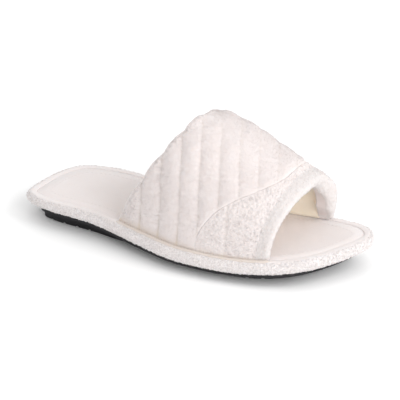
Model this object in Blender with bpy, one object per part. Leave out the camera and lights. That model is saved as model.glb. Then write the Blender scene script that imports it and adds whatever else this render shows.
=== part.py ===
"""Scuff slipper for the right foot: a quilted fleece upper on a platform wrapped in terry.

+X runs from heel to toe, -Y is the outer (lateral) side, +Y the inner (medial) side, and
the floor is Z = 0. Units are metres.
"""

import math
from collections import namedtuple

import bmesh
import bpy
import numpy as np

# Platform
LENGTH = 0.252            # rim, heel to toe
BALL_WIDTH = 0.107        # rim across the ball, which the plan's shares follow
RIM_HEIGHT = 0.0109
RIM_WIDTH = 0.0072        # from the rim's outer face to the footbed
HEEL_RAISE = 0.0032       # of the rim's top, heel over ball
HEEL_LIFT = 0.0026        # by which the rim is thinner, and the sole thicker, at the heel end
TOE_SPRING = 0.0100
FOOTBED_CROWN = 0.0016
FOOTBED_CROWN_RINGS = (0.45, 0.9)  # shares of the way from its side to its middle line
CLEARANCE = 0.0003        # between neighbouring pieces

# Outsole
SOLE_FORE = 0.0062        # thickness under the ball
SOLE_TOE = 0.0050         # thickness at the toe end
SOLE_INSET = 0.0076       # of the outsole's top edge from the rim's outer face
SOLE_FLARE = 0.0034       # how much further in its tread lies
WAIST_LIFT = 0.0032
GROOVE_WIDTH = 0.0026
GROOVE_DEPTH = 0.0014
GROOVE_PITCH = 0.0105

# Upper
INSTEP_HEIGHT = 0.0850    # crest of the upper over the rim's top
FOOT_INSET = 0.0058       # of the upper's foot from the rim's outer face
QUILT_WALL = 0.0052
FOOT_WALL = 0.0030
FOOT_SINK = 0.0002        # of the upper's foot under the rim's top
FOOT_ROUND = 0.0011       # height of the rounding under the foot
FOOT_TAPER = 0.6          # share by which the foot narrows over that rounding
WALL_RUN = 0.09           # share of the girth over which the wall swells from its foot
OUTER_BULGE = 0.0018      # of the upper's outer side over the rim
INNER_BULGE = 0.0040
BULGE_SHARE = 0.6         # of each half of the girth that bulges
BULGE_ROUND = 0.7         # exponent of the bulge; lower is fuller
SQUARENESS = 2.5          # exponent of the arch at the front; 2 is an ellipse
REAR_SQUARENESS = 0.4     # how much squarer the arch is at the rear
QUILT_PITCH = 0.01375
QUILT_START = -0.0005     # of one stitch line from the middle, square to the lines
QUILT_DEPTH = 0.0022
CREST_QUILT = 0.40        # share of that depth left over the crest
QUILT_PUFF = 0.7          # exponent of the padding's curve; lower is fuller
QUILT_MEAN = 0.6          # share of QUILT_DEPTH that lies under the plain surface
QUILT_TURN = math.radians(26)
QUILT_CHANNELS = (-4, 5)  # from the first stitch line
QUILT_SAMPLES = 4         # columns to a channel
COLUMN_GATHER = 0.00025
BINDING_WIDTH = 0.0092
BINDING_WALL = 0.0090
BINDING_PUFF = 0.0012     # of the binding over the panel
EDGE_ROUND = 0.0012
HEM = 0.0085              # strip along an edge where the quilting is sewn flatter
HEM_RELIEF = 0.35         # share of the relief left at the edge
HEM_ROLL = 0.0008         # by which the padding rolls down at an edge
HEM_ROLL_RUN = 0.0040     # distance from the edge over which it does
FOOT_FADE = 0.10          # share of half the girth over which relief grows from the foot
PANEL_TIP = 0.0044        # width of the toe panel at the crest
SEAM_SHARE = 0.43         # share of the girth where the toe panel has narrowed to its tip

AROUND = 84               # points around the platform
CURVE_STEPS = 16          # points of the plan's curve from one table row to the next
INSET_STEP = 0.0015       # largest single step when the plan is moved inwards
GIRTH_STEPS = 26          # points over the upper, outer side to inner side
PANEL_COLUMNS = 6         # across the toe panel
BINDING_COLUMNS = 4
SHARP_ANGLE = math.radians(40)  # edges sharper than this aren't shaded smooth

PlanPoint = namedtuple("PlanPoint", "along across")
SectionPoint = namedtuple("SectionPoint", "inset height")
InstepRow = namedtuple("InstepRow", "along crest lean")
EdgeRow = namedtuple("EdgeRow", "lateral crest medial")
GrooveRow = namedtuple("GrooveRow", "first count")

# Plan of the rim: shares of LENGTH from the heel and of BALL_WIDTH towards the inner side
PLAN = [
    PlanPoint(0.000, -0.120),
    PlanPoint(0.004, -0.302),
    PlanPoint(0.054, -0.371),
    PlanPoint(0.250, -0.380),
    PlanPoint(0.400, -0.445),
    PlanPoint(0.530, -0.488),
    PlanPoint(0.750, -0.405),
    PlanPoint(0.870, -0.262),
    PlanPoint(0.957, -0.010),
    PlanPoint(1.000, 0.260),
    PlanPoint(0.958, 0.410),
    PlanPoint(0.855, 0.490),
    PlanPoint(0.660, 0.480),
    PlanPoint(0.390, 0.366),
    PlanPoint(0.150, 0.356),
    PlanPoint(0.050, 0.255),
    PlanPoint(0.014, 0.090),
]

# Where the platform's side profile changes: shares of LENGTH from the heel
HEEL_LEVEL_END = 0.20
HEEL_LIFT_END = 0.45
BALL_LEVEL_START = 0.62
SPRING_START = 0.64
WAIST = (0.28, 0.54)
TREAD_ROLL_START = 0.66

# Where the arch eases from squarer to rounder: shares of LENGTH
SQUARE_FADE = (0.44, 0.62)

# Grooves across the tread: the first one's share of LENGTH, and how many
GROOVE_ROWS = [
    GrooveRow(0.085, 4),
    GrooveRow(0.560, 6),
]

# Rim section: shares of RIM_WIDTH inwards and of RIM_HEIGHT upwards
RIM_SECTION = [
    SectionPoint(0.55, 0.00),
    SectionPoint(0.22, 0.03),
    SectionPoint(0.05, 0.20),
    SectionPoint(0.00, 0.45),
    SectionPoint(0.06, 0.72),
    SectionPoint(0.22, 0.92),
    SectionPoint(0.48, 1.00),
    SectionPoint(0.78, 0.96),
    SectionPoint(0.97, 0.84),
    SectionPoint(1.00, 0.68),
    SectionPoint(1.00, 0.00),
]

# Footbed section: metres inwards from its side, and shares of RIM_HEIGHT upwards
FOOTBED_SECTION = [
    SectionPoint(0.0000, 0.00),
    SectionPoint(0.0000, 0.66),
    SectionPoint(0.0009, 0.84),
    SectionPoint(0.0028, 0.96),
    SectionPoint(0.0070, 1.03),
]

# Outsole section: shares of SOLE_FLARE inwards and of the sole's thickness upwards
OUTSOLE_SECTION = [
    SectionPoint(1.20, 0.00),
    SectionPoint(1.00, 0.10),
    SectionPoint(0.86, 0.38),
    SectionPoint(0.48, 0.43),
    SectionPoint(0.10, 0.80),
    SectionPoint(0.00, 1.00),
]

# Crest of the upper: shares of LENGTH, of INSTEP_HEIGHT and of BALL_WIDTH
INSTEP = [
    InstepRow(0.25, 1.026, 0.008),
    InstepRow(0.42, 1.012, 0.010),
    InstepRow(0.53, 0.998, 0.012),
    InstepRow(0.62, 0.912, 0.045),
    InstepRow(0.72, 0.745, 0.078),
    InstepRow(0.80, 0.608, 0.095),
    InstepRow(0.87, 0.440, 0.100),
]

# Edges of the upper: shares of LENGTH from the heel at its outer foot, crest and inner foot
REAR_EDGE = EdgeRow(0.318, 0.507, 0.334)
SEAM_FOOT = EdgeRow(0.584, None, 0.610)
FRONT_EDGE = EdgeRow(0.793, 0.836, 0.832)
REAR_PEAK_ROUND = 0.36    # share of half the girth over which its peak is rounded


def clear_scene():
    for item in list(bpy.data.objects):
        bpy.data.objects.remove(item, do_unlink=True)


def make_material(name, colour, roughness):
    material = bpy.data.materials.new(name)
    material.use_nodes = True
    shader = material.node_tree.nodes["Principled BSDF"]
    shader.inputs["Base Color"].default_value = (*colour, 1.0)
    shader.inputs["Roughness"].default_value = roughness
    shader.inputs["Metallic"].default_value = 0.0
    material.diffuse_color = (*colour, 1.0)
    return material


def make_object(name, bm, collection, material):
    bmesh.ops.recalc_face_normals(bm, faces=bm.faces)
    mesh = bpy.data.meshes.new(name)
    bm.to_mesh(mesh)
    bm.free()
    mesh.materials.append(material)
    mesh.shade_smooth()
    mesh.set_sharp_from_angle(angle=SHARP_ANGLE)
    item = bpy.data.objects.new(name, mesh)
    collection.objects.link(item)
    return item


def ease(low, high, value):
    """Smooth step from 0 at low to 1 at high."""
    share = np.clip((value - low) / (high - low), 0.0, 1.0)
    return share * share * (3 - 2 * share)


def smooth_table(at, values, where):
    """Cubic curve through a short table, read at one place or many."""
    at, values = np.array(at), np.array(values)
    slope = np.gradient(values, at)
    where = np.clip(where, at[0], at[-1])
    row = np.clip(np.searchsorted(at, where, side="right") - 1, 0, len(at) - 2)
    span = at[row + 1] - at[row]
    t = (where - at[row]) / span
    return (
        (2 * t**3 - 3 * t**2 + 1) * values[row]
        + (t**3 - 2 * t**2 + t) * span * slope[row]
        + (3 * t**2 - 2 * t**3) * values[row + 1]
        + (t**3 - t**2) * span * slope[row + 1]
    )


def closed_curve(points):
    """Smooth curve round a closed list of points, with slow knots at tight corners."""
    wrapped = np.vstack([points[-2:], points, points[:3]])
    chords = np.linalg.norm(np.diff(wrapped, axis=0), axis=1)
    run = np.concatenate([[0.0], np.cumsum(np.sqrt(chords))])
    knots = run[2 : 3 + len(points)]
    spans = zip(knots, knots[1:])
    steps = [np.linspace(low, high, CURVE_STEPS, endpoint=False) for low, high in spans]
    where = np.concatenate(steps)
    return np.stack([smooth_table(run, wrapped[:, k], where) for k in (0, 1)], axis=1)


def resample(points, count):
    """The same open line with count even steps."""
    run = np.concatenate([[0.0], np.cumsum(np.linalg.norm(np.diff(points, axis=0), axis=1))])
    at = np.linspace(0.0, run[-1], count + 1)
    return np.stack([np.interp(at, run, points[:, k]) for k in (0, 1)], axis=1)


def even_ring(curve):
    """AROUND points: heel to toe along the outer side, then back along the inner side."""
    curve = np.roll(curve, -int(np.argmin(curve[:, 0])), axis=0)
    toe = int(np.argmax(curve[:, 0]))
    lateral = resample(curve[: toe + 1], AROUND // 2)
    medial = resample(np.vstack([curve[toe:], curve[:1]]), AROUND // 2)
    return np.vstack([lateral[:-1], medial[:-1]])


def plan_ring():
    points = np.array([(row.along * LENGTH, row.across * BALL_WIDTH) for row in PLAN])
    curve = closed_curve(points)
    low, high = curve.min(axis=0), curve.max(axis=0)
    curve = (curve - (low + high) / 2) * (LENGTH / (high[0] - low[0]), 1.0)
    return even_ring(curve)


def inset_ring(inset):
    """The rim's plan moved inwards, in small steps so that tight corners stay clean."""
    ring = plan_ring()
    steps = max(1, math.ceil(abs(inset) / INSET_STEP))
    for _ in range(steps):
        along = np.roll(ring, -1, axis=0) - np.roll(ring, 1, axis=0)
        along /= np.linalg.norm(along, axis=1)[:, None]
        inward = np.stack([-along[:, 1], along[:, 0]], axis=1)
        ring = even_ring(ring + inward * inset / steps)
    return ring


def edge_y(x, inset, side):
    """Y of the inset plan's outer (-1) or inner (+1) side at x."""
    ring = inset_ring(inset)
    half = AROUND // 2
    line = ring[: half + 1] if side < 0 else np.vstack([ring[half:], ring[:1]])[::-1]
    return np.interp(x, line[:, 0], line[:, 1])


def along_share(x):
    return x / LENGTH + 0.5


def seat(x):
    """Height over the floor of the level that the rim's top follows."""
    share = along_share(x)
    heel = HEEL_RAISE * (1 - ease(HEEL_LEVEL_END, BALL_LEVEL_START, share))
    toe = TOE_SPRING * (np.clip(share - SPRING_START, 0, None) / (1 - SPRING_START)) ** 2
    return SOLE_FORE + heel + toe


def underside(x):
    """Height of the rim's underside, which is lifted towards the heel end."""
    return seat(x) + HEEL_LIFT * (1 - ease(0.0, HEEL_LIFT_END, along_share(x)))


def rim_level(x, share):
    """Height at a share of the way from the rim's underside to its top."""
    low = underside(x)
    return low + (seat(x) + RIM_HEIGHT - low) * share


def tread(x):
    """Height of the outsole's underside: level at heel and ball, lifted at waist and toe."""
    share = along_share(x)
    middle = np.clip((share - WAIST[0]) / (WAIST[1] - WAIST[0]), 0, 1)
    waist = WAIST_LIFT * np.sin(math.pi * middle) ** 2
    roll = (np.clip(share - TREAD_ROLL_START, 0, None) / (1 - TREAD_ROLL_START)) ** 2
    return waist + (TOE_SPRING + SOLE_FORE - SOLE_TOE) * roll


def loft_rings(bm, rings, close_section):
    """Quads between rings of equal count, each an array of XYZ points."""
    verts = [[bm.verts.new(point) for point in ring] for ring in rings]
    pairs = list(zip(verts, verts[1:]))
    if close_section:
        pairs.append((verts[-1], verts[0]))
    for low, high in pairs:
        for i in range(len(low)):
            j = (i + 1) % len(low)
            bm.faces.new((low[i], low[j], high[j], high[i]))
    return verts


def cross_fill(bm, ring):
    """Closes a ring with strips that run straight across the sole."""
    count = len(ring)
    half = count // 2
    bm.faces.new((ring[0], ring[1], ring[count - 1]))
    for i in range(1, half - 1):
        bm.faces.new((ring[i], ring[i + 1], ring[count - i - 1], ring[count - i]))
    bm.faces.new((ring[half - 1], ring[half], ring[half + 1]))


def lift(ring, heights):
    return np.column_stack([ring, heights])


def build_rim(collection, material):
    bm = bmesh.new()
    rings = []
    for point in RIM_SECTION:
        ring = inset_ring(point.inset * RIM_WIDTH)
        rings.append(lift(ring, rim_level(ring[:, 0], point.height)))
    loft_rings(bm, rings, close_section=True)
    return make_object("rim_wrap", bm, collection, material)


def build_footbed(collection, material):
    """Padded footbed that fills the rim, with a rounded edge and a crowned top."""
    bm = bmesh.new()
    rings = []
    for point in FOOTBED_SECTION:
        ring = inset_ring(RIM_WIDTH + CLEARANCE + point.inset)
        rings.append(lift(ring, rim_level(ring[:, 0], point.height)))
    top = rings[-1]
    opposite = top[::-1][np.r_[-1, 0:AROUND - 1]]
    from_ends = np.sin(2 * math.pi * np.arange(AROUND) / AROUND) ** 2
    for share in FOOTBED_CROWN_RINGS:
        ring = top + ((top + opposite) / 2 - top) * share
        ring[:, 2] += FOOTBED_CROWN * math.sin(share * math.pi / 2) * from_ends
        rings.append(ring)
    verts = loft_rings(bm, rings, close_section=False)
    cross_fill(bm, verts[0])
    cross_fill(bm, verts[-1])
    return make_object("footbed", bm, collection, material)


def groove_places():
    """X of each groove across the tread, under the heel and under the ball."""
    return [
        (row.first - 0.5) * LENGTH + k * GROOVE_PITCH
        for row in GROOVE_ROWS
        for k in range(row.count)
    ]


def build_outsole(collection, cutters, material):
    """Outsole with slanted sides, a side step, and grooves cut across its tread."""
    bm = bmesh.new()
    rings = []
    for point in OUTSOLE_SECTION:
        ring = inset_ring(SOLE_INSET + point.inset * SOLE_FLARE)
        low = tread(ring[:, 0])
        high = underside(ring[:, 0]) - CLEARANCE
        rings.append(lift(ring, low + (high - low) * point.height))
    verts = loft_rings(bm, rings, close_section=False)
    cross_fill(bm, verts[0])
    cross_fill(bm, verts[-1])
    sole = make_object("outsole", bm, collection, material)

    cutter_bm = bmesh.new()
    for x in groove_places():
        made = bmesh.ops.create_cube(cutter_bm, size=1.0)["verts"]
        for vert in made:
            vert.co.x = x + vert.co.x * GROOVE_WIDTH
            vert.co.y *= 2 * BALL_WIDTH
            vert.co.z = vert.co.z * 2 * GROOVE_DEPTH + float(tread(x))
    cutter = make_object("tread_grooves", cutter_bm, cutters, material)
    cutter.hide_render = True
    cutter.display_type = "WIRE"
    cut = sole.modifiers.new("grooves", "BOOLEAN")
    cut.operation = "DIFFERENCE"
    cut.solver = "EXACT"
    cut.object = cutter
    return sole


def arch_angle(share):
    """Angle round the arch at a share of its girth, from 0 at the outer foot to pi."""
    angle = np.linspace(0, math.pi / 2, 400)
    y = np.cos(angle) ** (2 / SQUARENESS) * BALL_WIDTH / 2
    z = np.sin(angle) ** (2 / SQUARENESS) * INSTEP_HEIGHT
    run = np.concatenate([[0.0], np.cumsum(np.hypot(np.diff(y), np.diff(z)))])
    run /= run[-1]
    half = np.interp(1 - np.abs(1 - 2 * np.clip(share, 0, 1)), run, angle)
    return np.where(share < 0.5, half, math.pi - half)


def arch_power(along):
    """Power that shapes the arch at a share of the length, lower where it is squarer."""
    rear = 1 - ease(*SQUARE_FADE, along)
    return 2 / (SQUARENESS + REAR_SQUARENESS * rear)


def upper_point(x, share):
    """Point of the upper's plain outer surface at x and at a share of the girth."""
    along = along_share(x)
    at = [row.along for row in INSTEP]
    crest = INSTEP_HEIGHT * smooth_table(at, [row.crest for row in INSTEP], along)
    middle = BALL_WIDTH * smooth_table(at, [row.lean for row in INSTEP], along)
    outer = edge_y(x, FOOT_INSET, -1)
    inner = edge_y(x, FOOT_INSET, 1)
    angle = arch_angle(share)
    power = arch_power(along)
    spread = np.abs(np.cos(angle)) ** power
    rise = np.abs(np.sin(angle)) ** power
    side = np.where(np.cos(angle) > 0, outer, inner)
    y = middle + (side - middle) * spread
    near_foot = np.clip(1 - np.abs(1 - 2 * share), 0, 1)
    swell = np.sin(math.pi * np.clip(near_foot / BULGE_SHARE, 0, 1)) ** BULGE_ROUND
    y = y + swell * np.where(share < 0.5, -OUTER_BULGE, INNER_BULGE)
    foot = seat(x) + RIM_HEIGHT - FOOT_SINK
    return np.stack([x, y, foot + crest * rise], axis=-1)


def upper_normal(x, share, step_x=0.002, step_share=0.006):
    along = upper_point(x + step_x, share) - upper_point(x - step_x, share)
    high, low = np.clip(share + step_share, 0, 1), np.clip(share - step_share, 0, 1)
    over = upper_point(x, high) - upper_point(x, low)
    normal = np.cross(along, over)
    return normal / np.linalg.norm(normal, axis=-1, keepdims=True)


def rear_edge(share):
    """X of the upper's rear edge, which climbs forward and is rounded at the crest."""
    reach = math.hypot(1, REAR_PEAK_ROUND)
    climb = (reach - np.hypot(1 - 2 * share, REAR_PEAK_ROUND)) / (reach - REAR_PEAK_ROUND)
    foot = np.where(share < 0.5, REAR_EDGE.lateral, REAR_EDGE.medial)
    return (foot + (REAR_EDGE.crest - foot) * climb - 0.5) * LENGTH


def front_edge(share):
    climb = np.sin(math.pi * share) ** 2
    foot = np.where(share < 0.5, FRONT_EDGE.lateral, FRONT_EDGE.medial)
    return (foot + (FRONT_EDGE.crest - foot) * climb - 0.5) * LENGTH


def binding_line(share):
    return front_edge(share) - BINDING_WIDTH


def seam_line(share):
    """X of the seam between quilting and toe panel, sweeping forward to the crest."""
    foot = np.where(share < 0.5, SEAM_FOOT.lateral, SEAM_FOOT.medial)
    foot_x = (foot - 0.5) * LENGTH
    reach = np.clip((1 - np.abs(1 - 2 * share)) / (2 * SEAM_SHARE), 0, 1)
    climb = np.sin(math.pi / 2 * reach) ** 2
    return foot_x + (binding_line(share) - PANEL_TIP - foot_x) * climb


def wall_thickness(share, full):
    near_foot = 1 - np.abs(1 - 2 * share)
    return FOOT_WALL + (full - FOOT_WALL) * ease(0.0, 2 * WALL_RUN, near_foot)


def quilt_phase(point):
    """Channels from the first stitch line; the lines lie in parallel upright planes."""
    across = point[..., 0] * math.cos(QUILT_TURN) + point[..., 1] * math.sin(QUILT_TURN)
    return (across - QUILT_START) / QUILT_PITCH


def quilt_relief(point, share):
    """Height of the quilting: puffed between stitch lines, and flatter over the crest."""
    near_crest = ease(0.55, 1.0, 1 - np.abs(1 - 2 * share))
    depth = QUILT_DEPTH * (1 - (1 - CREST_QUILT) * near_crest)
    return depth * (np.abs(np.sin(math.pi * quilt_phase(point))) ** QUILT_PUFF - QUILT_MEAN)


def quilt_columns(share, first, last):
    """X of columns along the channels, gathered beside an edge where a channel has ended."""
    count = QUILT_SAMPLES * (QUILT_CHANNELS[1] - QUILT_CHANNELS[0])
    phases = np.linspace(*QUILT_CHANNELS, count + 1)
    reach = np.linspace(-LENGTH / 2, LENGTH / 2, 600)
    order = np.arange(count + 1)
    columns = []
    for at, low, high in zip(share, first, last):
        x = np.interp(phases, quilt_phase(upper_point(reach, at)), reach)
        x = np.maximum(x, low + (order + 1) * COLUMN_GATHER)
        x = np.minimum(x, high - (count - order + 1) * COLUMN_GATHER)
        columns.append(np.concatenate([[low], x, [high]]))
    return np.array(columns)


def even_columns(steps):
    across = np.linspace(0, 1, steps + 1)
    return lambda share, first, last: first[:, None] + (last - first)[:, None] * across


def no_relief(point, share):
    return np.zeros(point.shape[:-1])


def binding_relief(point, share):
    return np.full(point.shape[:-1], BINDING_PUFF)


def build_wall(name, start, end, columns, wall, relief, collection, material):
    """Hollow wall of the upper between two edge lines, with round edges and feet."""
    line = np.linspace(0, 1, GIRTH_STEPS + 1)
    first, last = start(line) + EDGE_ROUND, end(line) - EDGE_ROUND
    x = columns(line, first, last)
    share = np.repeat(line[:, None], x.shape[1], axis=1)
    plain = upper_point(x, share)
    normal = upper_normal(x, share)
    hem = np.minimum(x - first[:, None], last[:, None] - x)
    fade = HEM_RELIEF + (1 - HEM_RELIEF) * ease(0.0, HEM, hem)
    fade *= ease(0.0, FOOT_FADE, 1 - np.abs(1 - 2 * share))
    roll = HEM_ROLL * (1 - ease(0.0, HEM_ROLL_RUN, hem))
    outer = plain + normal * (relief(plain, share) * fade - roll)[..., None]
    inner = plain - normal * wall_thickness(share, wall)[..., None]

    def edge(x_edge):
        depth = wall_thickness(line, wall)[:, None] / 2
        return upper_point(x_edge, line) - upper_normal(x_edge, line) * depth

    front, rear = edge(last + EDGE_ROUND), edge(first - EDGE_ROUND)
    rings = [
        np.vstack([outer[row], front[row], inner[row][::-1], rear[row]])
        for row in range(GIRTH_STEPS + 1)
    ]
    bm = bmesh.new()
    rings = [foot_ring(rings[0])] + rings + [foot_ring(rings[-1])]
    verts = loft_rings(bm, rings, close_section=False)
    close_foot(bm, verts[0])
    close_foot(bm, verts[-1])
    return make_object(name, bm, collection, material)


def foot_ring(ring):
    """Narrower ring under a foot, which rounds the wall's lower edge."""
    side = len(ring) // 2 - 1
    partner = np.r_[np.arange(2 * side, side, -1), side, np.arange(side - 1, -1, -1), 2 * side + 1]
    middle = (ring + ring[partner]) / 2
    return ring + (middle - ring) * FOOT_TAPER - (0, 0, FOOT_ROUND)


def close_foot(bm, ring):
    """Strips across a foot, from its outer points to its inner ones."""
    side = len(ring) // 2 - 1
    for k in range(side - 1):
        bm.faces.new((ring[k], ring[k + 1], ring[2 * side - k - 1], ring[2 * side - k]))
    bm.faces.new((ring[side - 1], ring[side], ring[side + 1]))
    bm.faces.new((ring[2 * side], ring[2 * side + 1], ring[0]))


def build_slipper():
    clear_scene()
    parts = bpy.data.collections.new("scuff_slipper")
    cutters = bpy.data.collections.new("cutters")
    for collection in (parts, cutters):
        bpy.context.scene.collection.children.link(collection)

    rubber = make_material("charcoal_rubber", (0.055, 0.052, 0.055), 0.75)
    terry = make_material("ivory_terry", (0.82, 0.77, 0.73), 0.95)
    fleece = make_material("ivory_fleece", (0.84, 0.79, 0.75), 0.95)
    curly = make_material("curly_fleece", (0.80, 0.75, 0.71), 0.98)
    plush = make_material("plush_binding", (0.85, 0.80, 0.77), 0.90)
    sock = make_material("footbed_fleece", (0.82, 0.77, 0.74), 0.92)

    build_outsole(parts, cutters, rubber)
    build_rim(parts, terry)
    build_footbed(parts, sock)

    gap = CLEARANCE / 2
    build_wall(
        "upper", rear_edge, lambda s: seam_line(s) - gap, quilt_columns, QUILT_WALL, quilt_relief,
        parts, fleece
    )
    build_wall(
        "toe_panel", lambda s: seam_line(s) + gap, lambda s: binding_line(s) - gap,
        even_columns(PANEL_COLUMNS), QUILT_WALL, no_relief, parts, curly
    )
    build_wall(
        "toe_binding", lambda s: binding_line(s) + gap, front_edge, even_columns(BINDING_COLUMNS),
        BINDING_WALL, binding_relief, parts, plush
    )


build_slipper()
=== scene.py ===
"""Looks of the right-foot scuff slipper: quilted fleece, curly toe panel and terry-wrapped rim.

Sizes are metres in the part's own frame: +X runs from heel to toe, +Y is the inner side.
"""

import math
from collections import namedtuple

import bpy
import numpy as np
from mathutils import Matrix, Vector

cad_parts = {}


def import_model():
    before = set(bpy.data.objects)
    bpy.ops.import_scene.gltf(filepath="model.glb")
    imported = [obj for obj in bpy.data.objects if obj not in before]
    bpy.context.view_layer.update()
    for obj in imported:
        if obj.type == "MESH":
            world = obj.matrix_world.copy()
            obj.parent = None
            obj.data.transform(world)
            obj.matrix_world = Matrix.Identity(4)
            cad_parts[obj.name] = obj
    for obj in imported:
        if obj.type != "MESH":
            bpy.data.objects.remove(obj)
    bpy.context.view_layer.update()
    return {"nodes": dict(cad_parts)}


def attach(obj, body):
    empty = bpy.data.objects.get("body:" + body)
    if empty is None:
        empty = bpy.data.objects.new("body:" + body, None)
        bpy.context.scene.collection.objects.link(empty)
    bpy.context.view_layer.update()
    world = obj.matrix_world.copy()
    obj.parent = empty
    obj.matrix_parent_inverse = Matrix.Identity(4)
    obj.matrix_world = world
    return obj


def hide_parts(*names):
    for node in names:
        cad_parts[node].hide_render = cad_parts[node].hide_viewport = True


# Sizes that the part also has
LENGTH = 0.252
BALL_WIDTH = 0.107
RIM_HEIGHT = 0.0109
RIM_WIDTH = 0.0072
HEEL_RAISE = 0.0032
HEEL_LIFT = 0.0026
HEEL_LIFT_END = 0.45
TOE_SPRING = 0.0100
FOOTBED_CROWN = 0.0016
SOLE_FORE = 0.0062
INSTEP_HEIGHT = 0.0850
FOOT_INSET = 0.0058
QUILT_WALL = 0.0052
FOOT_WALL = 0.0030
WALL_RUN = 0.09
OUTER_BULGE = 0.0018
INNER_BULGE = 0.0040
BULGE_SHARE = 0.6
BULGE_ROUND = 0.7
SQUARENESS = 2.5
REAR_SQUARENESS = 0.4
SQUARE_FADE = (0.44, 0.62)
QUILT_PITCH = 0.01375
QUILT_START = -0.0005
QUILT_TURN = math.radians(26)
BINDING_WIDTH = 0.0092
BINDING_WALL = 0.0112      # fuller than the part's, as the plush rolls in
PANEL_TIP = 0.0044
SEAM_SHARE = 0.43
REAR_PEAK_ROUND = 0.36
HEEL_LEVEL_END = 0.20
BALL_LEVEL_START = 0.62
SPRING_START = 0.64

# Sizes of the finish
SEAM_CLEARANCE = 0.0001   # between the rim and the footbed
QUILT_DEPTH = 0.0018
CREST_QUILT = 0.25        # share of that depth left over the crest
NUB = 0.0013              # terry loop spacing
WELT_INSET = 0.0047       # middle of the welt beside the upper's foot
WELT_HALF = (0.0019, 0.0012)  # half its width and its height over the rim
OVERLAP = 0.0005          # by which sewn pieces lie over their neighbour
CREASE_AT = 0.0197        # the toe panel's crease, square to the quilt lines
STITCH_INSET = 0.0062     # footbed topstitch from the footbed's side
HEM_ROLL = 0.0008         # by which the padding rolls down at an edge
HEM_ROLL_RUN = 0.0040     # distance from the edge over which it does
EDGE_KNOBS = 0.0010       # unevenness of the padded edges
FOOT_SINK = 0.0016        # by which the walls' feet reach into the rim
# share to which the lining turns deep tan towards the crest: partly its tone, partly painted shade in
# the top of the hollow
LINING_TAN_AND_SHADE = 0.9
SHOULDER_PUFF = 0.0024    # fuller padding at the rear edge on the outer side of the peak
PEAK_DROP = 0.0034        # by which the padding rolls down at the rear edge's peak
CREST_PUFF = 0.0013       # fullness of the padding in front of the peak
HEEL_MIDDLE = -0.004      # y at which every ring starts at the heel
UNDER_BINDING = 0.0025    # by which the toe panel runs on under the binding
RIM_LIFT = 0.11           # share of the rim's height by which the wrap clears the sole's top
UPPER_SEAT = 0.0002       # by which the upper's foot and the welt sit below the rim's top
SEED = 11

# Rim and sole edge
RIM_REACH = 1.02          # width of the rim's section in rim widths
RIM_NUBS = 0.0010
RIM_LUMPS = 0.0002
RIM_GIRTH = 2.9           # the rim's outline in lengths of the slipper
LOOP_ROWS = 15
LOOPS_INSET = 0.74        # share of the rim's width that the loops cover
LOOPS_FLAT = 0.0026       # inset past which faces that look up have no loops
LOOPS_FLOOR = 0.0055      # height over the floor below which there are none
SOLE_EDGE_BACK = 0.62     # how much further in the sole's edge stands at the heel and toe

# Footbed and welt
FOOTBED_EDGE = 0.0075     # width of the footbed's rounded edge
FOOTBED_HALF = 0.030      # from that edge to the middle, for the wear
WELT_TAPER = 0.003

# Quilting and pile
PUCKER = 0.00052
PUCKER_SIZE = (0.010, 0.0030)  # across and along the stitch lines
REAR_KNOBS = 0.0012
CORNER_PLACE = (-3.12, -2.98)  # stitch line that bounds the knobbly rear corner
PEAK_AT = (0.58, 0.075)        # middle and width in shares of the girth
SHOULDER_AT = (0.44, 0.055)
QUILT_LINES = range(-4, 6)
CURL_PITCH = 0.0024
CURL_THINNING = 0.85
REAR_CURLS = 380
REAR_CURL_REACH = 40      # columns of the upper's grid
EDGE_CURLS = 220
LOOP_LEAN = 0.55
NAP_LEAN = 0.9
NAP_HALF_WIDTH = 0.00007
NAP_ROOT = 0.0001
THREAD_LEAST = 12         # points in the shortest run of thread
THREAD_GAP = 0.004        # a longer step between two points parts the thread
THREAD_MARGIN = 6         # rows without thread at each foot
FAR_ROLL = (0.56, 0.84)   # shares of the girth over which the binding grows on the far side

# How finely things are drawn
CURVE_STEPS = 40          # points from one row of the outline's table to the next
SECTION_STEPS = 12        # the same for the rim's section
ARCH_STEPS = 1200
LINE_STEPS = 400          # points round the upper's foot line and the welt's
INSET_STEP = 0.0008       # longest step by which an outline is moved inwards
PROBE_X = 0.002           # reach of the two slopes that give the upper's normal
PROBE_SHARE = 0.006
RIM_AROUND = 760
RIM_ROWS = 40
RIM_RINGS = 9
FOOTBED_AROUND = 420
FOOTBED_ROWS = 22
FOOTBED_RINGS = 10
CROWN_SHARES = np.linspace(0.04, 0.96, 24)
WELT_AROUND = 14
WELT_STEPS = 240
LOOP_STEPS = 5
LOOP_SIDES = 3
STITCH_SIDES = 5

PlanPoint = namedtuple("PlanPoint", "along across")
SectionPoint = namedtuple("SectionPoint", "inset height")
InstepRow = namedtuple("InstepRow", "along crest lean")
EdgeRow = namedtuple("EdgeRow", "lateral crest medial")
EdgeShape = namedtuple("EdgeShape", "rear rear_corner front front_corner bends")
Wall = namedtuple("Wall", "outer normal share skin")
LoopSize = namedtuple("LoopSize", "height width radius root")
StitchSize = namedtuple("StitchSize", "pitch share radius")
Lamp = namedtuple("Lamp", "name azimuth elevation size power")
# the fourth colour is mixed in by each point's amount, for a real tone or for painted shade
Cloth = namedtuple("Cloth", "name colour shade warm grain grain_bump lumps sheen blotch",
                   defaults=(0.0, 0.35, 0.8))

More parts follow.
